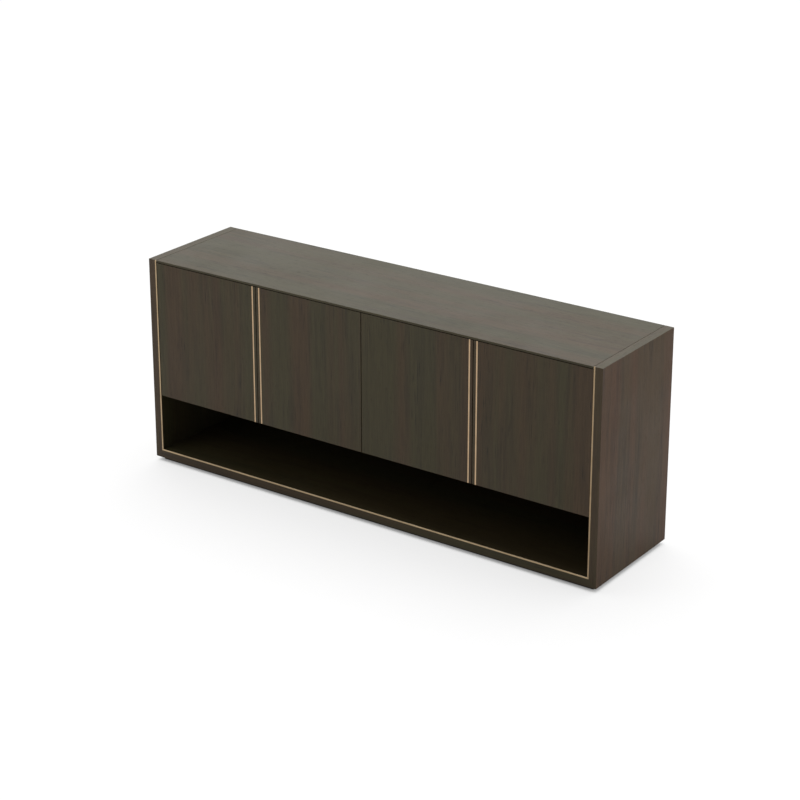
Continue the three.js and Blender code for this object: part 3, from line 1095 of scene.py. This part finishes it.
class ScrewTree:
    """Geometry nodes that set a cross-recessed screw head on every point of a mesh.

    Attributes:
        name: Name of the tree.
        facing: Attribute of the points that says which way a head faces.
        sizes: Names of the inputs that take a size.
        sides: Facets round a head.
        crown_share: Width of a head's flat crown as a share of its diameter.
        recess_share: Length of the cross as a share of the diameter.
        recess_drop: Depth of the bars that cut the cross, in heights of a head.
        seed: Seed of the turn of each head.
        random_range: Numbers of the random number's lower and upper end among its inputs.
        random_output: Number of the random number among its outputs.
    """

    name: ClassVar[str] = "screw_heads"
    facing: ClassVar[str] = "facing"
    sizes: ClassVar[tuple[str, ...]] = ("Head Diameter", "Head Height", "Recess Width")
    sides: ClassVar[int] = 20
    crown_share: ClassVar[float] = 0.72
    recess_share: ClassVar[float] = 0.56
    recess_drop: ClassVar[float] = 1.2
    seed: ClassVar[int] = 7
    random_range: ClassVar[tuple[int, int]] = (2, 3)
    random_output: ClassVar[int] = 1

    def tree(self) -> bpy.types.NodeTree:
        """Return the tree, built on first use."""
        return bpy.data.node_groups.get(self.name) or self._build()

    def _build(self) -> bpy.types.NodeTree:
        """Make the tree with its named sizes.

        Returns:
            The finished tree.
        """
        tree = bpy.data.node_groups.new(self.name, "GeometryNodeTree")
        tree.interface.new_socket("Geometry", in_out="INPUT", socket_type="NodeSocketGeometry")
        for label in self.sizes:
            tree.interface.new_socket(label, in_out="INPUT", socket_type="NodeSocketFloat")
        tree.interface.new_socket("Material", in_out="INPUT", socket_type="NodeSocketMaterial")
        tree.interface.new_socket("Geometry", in_out="OUTPUT", socket_type="NodeSocketGeometry")
        wiring = Wiring(tree)
        given = wiring.add("NodeGroupInput").outputs
        heads = wiring.add("GeometryNodeInstanceOnPoints", {
            "Points": given["Geometry"],
            "Instance": self._head(wiring, given),
            "Rotation": self._turn(wiring),
        })
        real = wiring.add("GeometryNodeRealizeInstances", {0: heads.outputs[0]})
        dressed = {"Geometry": real.outputs[0], "Material": given["Material"]}
        done = wiring.add("GeometryNodeSetMaterial", dressed)
        wiring.add("NodeGroupOutput", {0: done.outputs[0]})
        return tree

    def _turn(self, wiring: Wiring) -> Socket:
        """Aim each head the way its point faces and turn its cross at random.

        Args:
            wiring: The tree.

        Returns:
            The rotation's socket.
        """
        attribute = wiring.add(
            "GeometryNodeInputNamedAttribute", {"Name": self.facing}, data_type="FLOAT_VECTOR",
        )
        aim = wiring.add("FunctionNodeAlignRotationToVector", {"Vector": attribute.outputs[0]}, axis="Z")
        half_turn = dict(zip(self.random_range, (0.0, math.pi)))
        angle = wiring.add("FunctionNodeRandomValue", {**half_turn, "Seed": self.seed}, data_type="FLOAT")
        twist = wiring.add("FunctionNodeAxisAngleToRotation", {
            "Axis": UP,
            "Angle": angle.outputs[self.random_output],
        })
        turns = {0: aim.outputs[0], 1: twist.outputs[0]}
        return wiring.add("FunctionNodeRotateRotation", turns, rotation_space="LOCAL").outputs[0]

    def _head(self, wiring: Wiring, given: Sockets) -> Socket:
        """Make one head: a low cone with a cross cut into it.

        Args:
            wiring: The tree.
            given: The tree's input sockets.

        Returns:
            The head's geometry socket.
        """
        radius = wiring.math("DIVIDE", given["Head Diameter"], 2.0)
        cone = wiring.add("GeometryNodeMeshCone", {
            "Vertices": self.sides,
            "Radius Top": wiring.math("MULTIPLY", radius, self.crown_share),
            "Radius Bottom": radius,
            "Depth": given["Head Height"],
        })
        cut = wiring.add("GeometryNodeMeshBoolean", {0: cone.outputs[0]}, operation="DIFFERENCE")
        width = given["Recess Width"]
        length = wiring.math("MULTIPLY", given["Head Diameter"], self.recess_share)
        drop = wiring.math("MULTIPLY", given["Head Height"], self.recess_drop)
        lift = wiring.add("ShaderNodeCombineXYZ", {2: given["Head Height"]}).outputs[0]
        for across, along in ((length, width), (width, length)):
            size = wiring.add("ShaderNodeCombineXYZ", {0: across, 1: along, 2: drop})
            bar = wiring.add("GeometryNodeMeshCube", {"Size": size.outputs[0]})
            raised = wiring.add("GeometryNodeTransform", {0: bar.outputs[0], "Translation": lift})
            wiring.feed(cut.inputs[1], raised.outputs[0])
        return cut.outputs[0]


@dataclass
class Screws:
    """Screw heads at given places on one body.

    Attributes:
        name: Name of the piece.
        body: Body that they ride on.
        finish: Their finish.
        places: Where each head sits and which way it faces.
        head_diameter: Diameter of a head.
        head_height: Height of a head.
        recess_width: Width of the arms of its cross.
    """

    name: str
    body: str
    finish: Finish
    places: list[Place]
    head_diameter: float = 7 * MM
    head_height: float = 1.4 * MM
    recess_width: float = 1.1 * MM

    def build(self) -> bpy.types.Object:
        """Set the heads and keep them as one plain mesh.

        Returns:
            The finished object.
        """
        made = bpy.data.objects.new(self.name, self._carrier())
        bpy.context.scene.collection.objects.link(made)
        self._set_heads(made)
        settle(made)
        self._lay_grain(made.data)
        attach(made, self.body)
        LOG.info("%s rides on %s, %d screws", self.name, self.body, len(self.places))
        return made

    def _carrier(self) -> bpy.types.Mesh:
        """Make the points that the heads are set on.

        Returns:
            A mesh of points that know which way they face.
        """
        mesh = bpy.data.meshes.new(self.name)
        mesh.from_pydata([spot for spot, _ in self.places], [], [])
        facing = mesh.attributes.new(ScrewTree.facing, "FLOAT_VECTOR", "POINT")
        for item, (_, way) in zip(facing.data, self.places):
            item.vector = way
        return mesh

    def _set_heads(self, made: bpy.types.Object) -> None:
        """Add the modifier with its sizes and its finish.

        Args:
            made: The object that holds the points.
        """
        setter = made.modifiers.new("screw_heads", "NODES")
        setter.node_group = ScrewTree().tree()
        sizes = (self.head_diameter, self.head_height, self.recess_width)
        chosen = {**dict(zip(ScrewTree.sizes, sizes)), "Material": self.finish.material()}
        for item in setter.node_group.interface.items_tree:
            if item.in_out == "INPUT" and item.name in chosen:
                setter[item.identifier] = chosen[item.name]

    @staticmethod
    def _lay_grain(mesh: bpy.types.Mesh) -> None:
        """Write plain coordinates for the finish to read.

        Args:
            mesh: The finished mesh.
        """
        space = mesh.attributes.new(GRAIN_SPACE, "FLOAT_VECTOR", "POINT")
        for item, vertex in zip(space.data, mesh.vertices):
            item.vector = vertex.co


@dataclass
class Door:
    """A door leaf with its brass strip, hinge cups and hinge arms, and the push latch behind it.

    Attributes:
        place: Which door it is, as in its nodes' names.
        run: Direction from its hinge edge to its free edge along X.
        leaf: Number of its veneer leaf.
        board_radius: Radius of the leaf's edges.
        strip_radius: Radius of the brass strip's edges.
        fitting_radius: Radius of the fittings' edges.
        plate_thickness: Thickness of the hinge plate on the carcass.
        plate_back: Distance of the plate's screws from its rear end.
        plate_height: Distance of the plate's screws from its middle.
        flange_shift: Distance of the flange's screws from the cup's middle, towards the free edge.
        flange_height: Distance of the flange's screws from its middle.
        ear_thickness: Thickness of the latch's ears.
        ear_inset: Distance of the latch's screws from the ends of its ears.
    """

    place: str
    run: int
    leaf: int
    board_radius: float = 0.5 * MM
    strip_radius: float = 0.3 * MM
    fitting_radius: float = 0.4 * MM
    plate_thickness: float = 2.5 * MM
    plate_back: float = 14 * MM
    plate_height: float = 15 * MM
    flange_shift: float = 2.5 * MM
    flange_height: float = 17 * MM
    ear_thickness: float = 3 * MM
    ear_inset: float = 5 * MM

    @property
    def body(self) -> str:
        """Return the body that the leaf is."""
        return f"{self.place}_door"

    def build(self) -> list[bpy.types.Object]:
        """Make the leaf, its fittings and its latch.

        Returns:
            The finished objects.
        """
        strip = f"{self.body}_strip"
        latch = f"{self.place}_latch"
        made = [
            Stock(self.body, self.body, DOOR_VENEER, Axis.Z, self.board_radius, self.leaf).build(),
            Stock(strip, self.body, STRIP_BRASS, Axis.Z, self.strip_radius, self.leaf).build(),
        ]
        for level in Level:
            made.append(self._fitting(f"{self._hinge(level)}_cup", self.body, NICKEL, Axis.Z))
            made.append(self._fitting(f"{self._hinge(level)}_arm", CARCASS, NICKEL, Axis.Y))
        made.append(self._fitting(f"{latch}_housing", CARCASS, LATCH_PLASTIC, Axis.Y))
        made.append(self._fitting(f"{latch}_plunger", f"{self.place}_plunger", LATCH_PLASTIC, Axis.Y))
        screws = Screws(f"{self.body}_flange_screws", self.body, NICKEL, self._flange_screws())
        made.append(screws.build())
        return made

    def _hinge(self, level: Level) -> str:
        """Return the name that a hinge's nodes begin with."""
        return f"{self.body}_{level.value}_hinge"

    def _fitting(self, node: str, body: str, finish: Finish, grain: Axis) -> bpy.types.Object:
        """Make one fitting of the door."""
        return Stock(node, body, finish, grain, self.fitting_radius).build()

    def _flange_screws(self) -> list[Place]:
        """Find where screws hold the cups' flanges to the leaf.

        Returns:
            The place and direction of each screw.
        """
        places = []
        for level in Level:
            low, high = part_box(f"{self._hinge(level)}_cup")
            middle = (low + high) / 2
            across = middle.x + self.run * self.flange_shift
            for side in (-1, 1):
                spot = Vector((across, high.y, middle.z + side * self.flange_height))
                places.append((spot, BACK))
        return places

    def carcass_screws(self) -> list[Place]:
        """Find where screws hold the hinge plates and the latch to the carcass.

        Returns:
            The place and direction of each screw.
        """
        places = []
        for level in Level:
            low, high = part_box(f"{self._hinge(level)}_arm")
            face = (low.x if self.run > 0 else high.x) + self.run * self.plate_thickness
            middle = (low.z + high.z) / 2
            for side in (-1, 1):
                spot = Vector((face, high.y - self.plate_back, middle + side * self.plate_height))
                places.append((spot, RIGHT * self.run))
        low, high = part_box(f"{self.place}_latch_housing")
        for across in (low.x + self.ear_inset, high.x - self.ear_inset):
            spot = Vector((across, (low.y + high.y) / 2, high.z - self.ear_thickness))
            places.append((spot, -UP))
        return places


@dataclass
class BackScrews:
    """The screws round the edge of the back board.

    Attributes:
        inset: Distance from the board's edge.
        pitch: Greatest distance between two screws.
        sunk: How deep a head sits in the board.
    """

    inset: float = 10 * MM
    pitch: float = 200 * MM
    sunk: float = 1.1 * MM

    def places(self) -> list[Place]:
        """Find where the screws sit along the four edges.

        Returns:
            The place and direction of each screw.
        """
        low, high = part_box("back_panel")
        depth = high.y - self.sunk
        left, right = low.x + self.inset, high.x - self.inset
        bottom, top = low.z + self.inset, high.z - self.inset
        spots = [(x, z) for x in self._steps(left, right) for z in (bottom, top)]
        spots += [(x, z) for z in self._steps(bottom, top)[1:-1] for x in (left, right)]
        return [(Vector((x, depth, z)), BACK) for x, z in spots]

    def _steps(self, start: float, end: float) -> list[float]:
        """Divide a stretch evenly into places no further apart than the pitch."""
        count = math.ceil((end - start) / self.pitch)
        return [start + (end - start) * step / count for step in range(count + 1)]


@dataclass(frozen=True)
class Sun:
    """An even light from one side of the sky.

    Attributes:
        name: Name of the lamp.
        way: Direction in which the light falls.
        spread: Width of the light in the sky, in degrees.
        strength: Light on a face turned to it, in watts per square metre.
    """

    name: str
    way: Vector
    spread: float
    strength: float

    def build(self) -> None:
        """Add the lamp."""
        light = bpy.data.lights.new(self.name, "SUN")
        light.angle = math.radians(self.spread)
        light.energy = self.strength
        stand(bpy.data.objects.new(self.name, light), self.way)


@dataclass(frozen=True)
class Softbox:
    """A square softbox that shows in no reflection.

    Attributes:
        name: Name of the lamp.
        place: Where it hangs.
        aim: The point that it faces.
        size: Length of its sides.
        power: Its power in watts.
    """

    name: str
    place: Vector
    aim: Vector
    size: float
    power: float

    def build(self) -> None:
        """Hang the lamp."""
        light = bpy.data.lights.new(self.name, "AREA")
        light.shape = "SQUARE"
        light.size = self.size
        light.energy = self.power
        lamp = bpy.data.objects.new(self.name, light)
        lamp.location = self.place
        lamp.visible_glossy = False
        stand(lamp, self.aim - self.place)


LAMPS = (
    Sun("overhead_light", way=Vector((0.16, -0.34, -1.0)), spread=64.0, strength=2.82),
    Softbox(
        "right_softbox",
        place=Vector((4.4, 1.2, 1.9)), aim=Vector((0.9, 0.0, 0.4)), size=2.5, power=36.0,
    ),
    Softbox(
        "left_softbox",
        place=Vector((-2.5, -2.5, 2.6)), aim=Vector((-0.6, 0.0, 0.4)), size=2.0, power=26.0,
    ),
)


@dataclass
class Studio:
    """White floor and backdrop, soft lamps and the camera.

    The floor tests how open it is and paints shade from that. Close under the object it throws less
    light back and looks darker in reflections, and the camera sees a painted contact shadow where the
    plinth meets it.

    Attributes:
        reach: Half the floor's width.
        floor_colour: How pale the floor looks.
        floor_bounce: How much light the open floor throws onto the object.
        floor_share: How much plain white the camera and reflections see over the lit floor.
        shade_reach: How far round the object the floor throws less light back.
        shade_span: Openness between which that light comes back.
        shade_rest: Share of that light where the floor is covered.
        contact_reach: How far from the plinth the camera sees the painted contact shadow.
        contact_span: Openness between which that shadow fades out.
        contact_rest: Brightness of that painted shadow at its darkest.
        samples: Rays that test how open the floor is.
        sky: Strength of the even light from all round.
        camera_place: Where the camera stands.
        azimuth: Direction of view round the object, in degrees.
        elevation: How far the camera looks down, in degrees.
        lens: Focal length in millimetres.
        sensor: Width of the sensor in millimetres.
        shift: Upward shift of the lens as a share of the image.
    """

    reach: float = 40.0
    floor_colour: float = 0.95
    floor_bounce: float = 0.74
    floor_share: float = 0.72
    shade_reach: float = 0.4
    shade_span: Span = (0.35, 1.0)
    shade_rest: float = 0.44
    contact_reach: float = 24 * MM
    contact_span: Span = (0.1, 0.8)
    contact_rest: float = 0.25
    samples: int = 6
    sky: float = 0.26
    camera_place: Vector = Vector((3.9968, -5.6447, 3.1787))
    azimuth: float = 35.303
    elevation: float = 20.083
    lens: float = 100.38
    sensor: float = 36.0
    shift: float = -0.1

    def build(self) -> None:
        """Set up the floor, the light and the camera."""
        self._floor()
        self._world()
        for lamp in LAMPS:
            lamp.build()
        self._camera()
        bpy.context.scene.view_settings.view_transform = "Standard"

    def _floor(self) -> None:
        """Lay a pale floor that keeps the object's shadow."""
        half = self.reach
        corners = [(-half, -half, 0), (half, -half, 0), (half, half, 0), (-half, half, 0)]
        mesh = bpy.data.meshes.new("studio_floor")
        mesh.from_pydata(corners, [], [range(len(corners))])
        mesh.materials.append(self._white())
        floor = bpy.data.objects.new("studio_floor", mesh)
        bpy.context.scene.collection.objects.link(floor)

    def _white(self) -> bpy.types.Material:
        """Make the floor's finish.

        Returns:
            The finished material.
        """
        made = bpy.data.materials.new("studio_white")
        wiring = Wiring.anew(made)
        seen = self._seen_directly(wiring)
        lit = self._openness(wiring)
        bounce = wiring.math("MULTIPLY", lit, self.floor_bounce)
        tone = wiring.ramp(seen, UNIT, (bounce, self.floor_colour))
        matt = wiring.add("ShaderNodeBsdfDiffuse", {"Color": tone})
        glow = wiring.add("ShaderNodeEmission", {"Strength": lit})
        share = wiring.math("MULTIPLY", seen, self.floor_share)
        both = wiring.add("ShaderNodeMixShader", {0: share, 1: matt.outputs[0], 2: glow.outputs[0]})
        wiring.add("ShaderNodeOutputMaterial", {"Surface": both.outputs[0]})
        return made

    def _openness(self, wiring: Wiring) -> Socket:
        """Darken the floor where the object covers it, for the camera in another way than for other rays.

        Args:
            wiring: The floor's tree.

        Returns:
            The brightness socket, 1 on the open floor.
        """
        camera = wiring.add("ShaderNodeLightPath").outputs[Ray.CAMERA.value]
        shade = (self.shade_reach, *self.shade_span, self.shade_rest)
        contact = (self.contact_reach, *self.contact_span, self.contact_rest)
        reach, low, high, rest = (wiring.ramp(camera, UNIT, pair) for pair in zip(shade, contact))
        feeds = {"Distance": reach}
        touch = wiring.add("ShaderNodeAmbientOcclusion", feeds, samples=self.samples).outputs["AO"]
        return wiring.ramp(touch, (low, high), (rest, 1.0))

    @staticmethod
    def _seen_directly(wiring: Wiring) -> Socket:
        """Tell the rays that see the backdrop from those that carry its light.

        Args:
            wiring: The tree of the floor or the world.

        Returns:
            The socket that is 1 for camera, glossy and transmission rays.
        """
        path = wiring.add("ShaderNodeLightPath").outputs
        seen = path[Ray.CAMERA.value]
        for ray in (Ray.GLOSSY, Ray.TRANSMISSION):
            seen = wiring.math("MAXIMUM", seen, path[ray.value])
        return seen

    def _world(self) -> None:
        """Light the room evenly and show it white."""
        world = bpy.data.worlds.new("studio_world")
        wiring = Wiring.anew(world)
        strength = wiring.ramp(self._seen_directly(wiring), UNIT, (self.sky, 1.0))
        glow = wiring.add("ShaderNodeBackground", {"Color": WHITE, "Strength": strength})
        wiring.add("ShaderNodeOutputWorld", {"Surface": glow.outputs[0]})
        bpy.context.scene.world = world

    def _camera(self) -> None:
        """Stand the camera at the photograph's angle."""
        lens = bpy.data.cameras.new("studio_camera")
        lens.sensor_width = self.sensor
        lens.lens = self.lens
        lens.shift_y = self.shift
        camera = bpy.data.objects.new("studio_camera", lens)
        around = math.radians(self.azimuth)
        down = math.radians(self.elevation)
        level = Vector((math.sin(around), -math.cos(around), 0.0))
        back = level * math.cos(down) + UP * math.sin(down)
        camera.location = self.camera_place
        stand(camera, -back)
        bpy.context.scene.camera = camera


DOORS = (
    Door("left_outer", run=1, leaf=11),
    Door("left_inner", run=-1, leaf=12),
    Door("right_inner", run=1, leaf=13),
    Door("right_outer", run=-1, leaf=17),
)


def main() -> None:
    """Build the studio and every sub-assembly."""
    logging.basicConfig(level=logging.INFO, format="%(name)s: %(message)s")
    Studio().build()
    pieces = Carcass().build() + Trim().build() + ShelfPins().build()
    places = []
    for door in DOORS:
        pieces += door.build()
        places += door.carcass_screws()
    pieces.append(Screws("carcass_fitting_screws", CARCASS, NICKEL, places).build())
    pieces.append(Screws("back_screws", CARCASS, BLACK_STEEL, BackScrews().places()).build())
    LOG.info("%d pieces dressed", len(pieces))


if __name__ == "__main__":
    main()
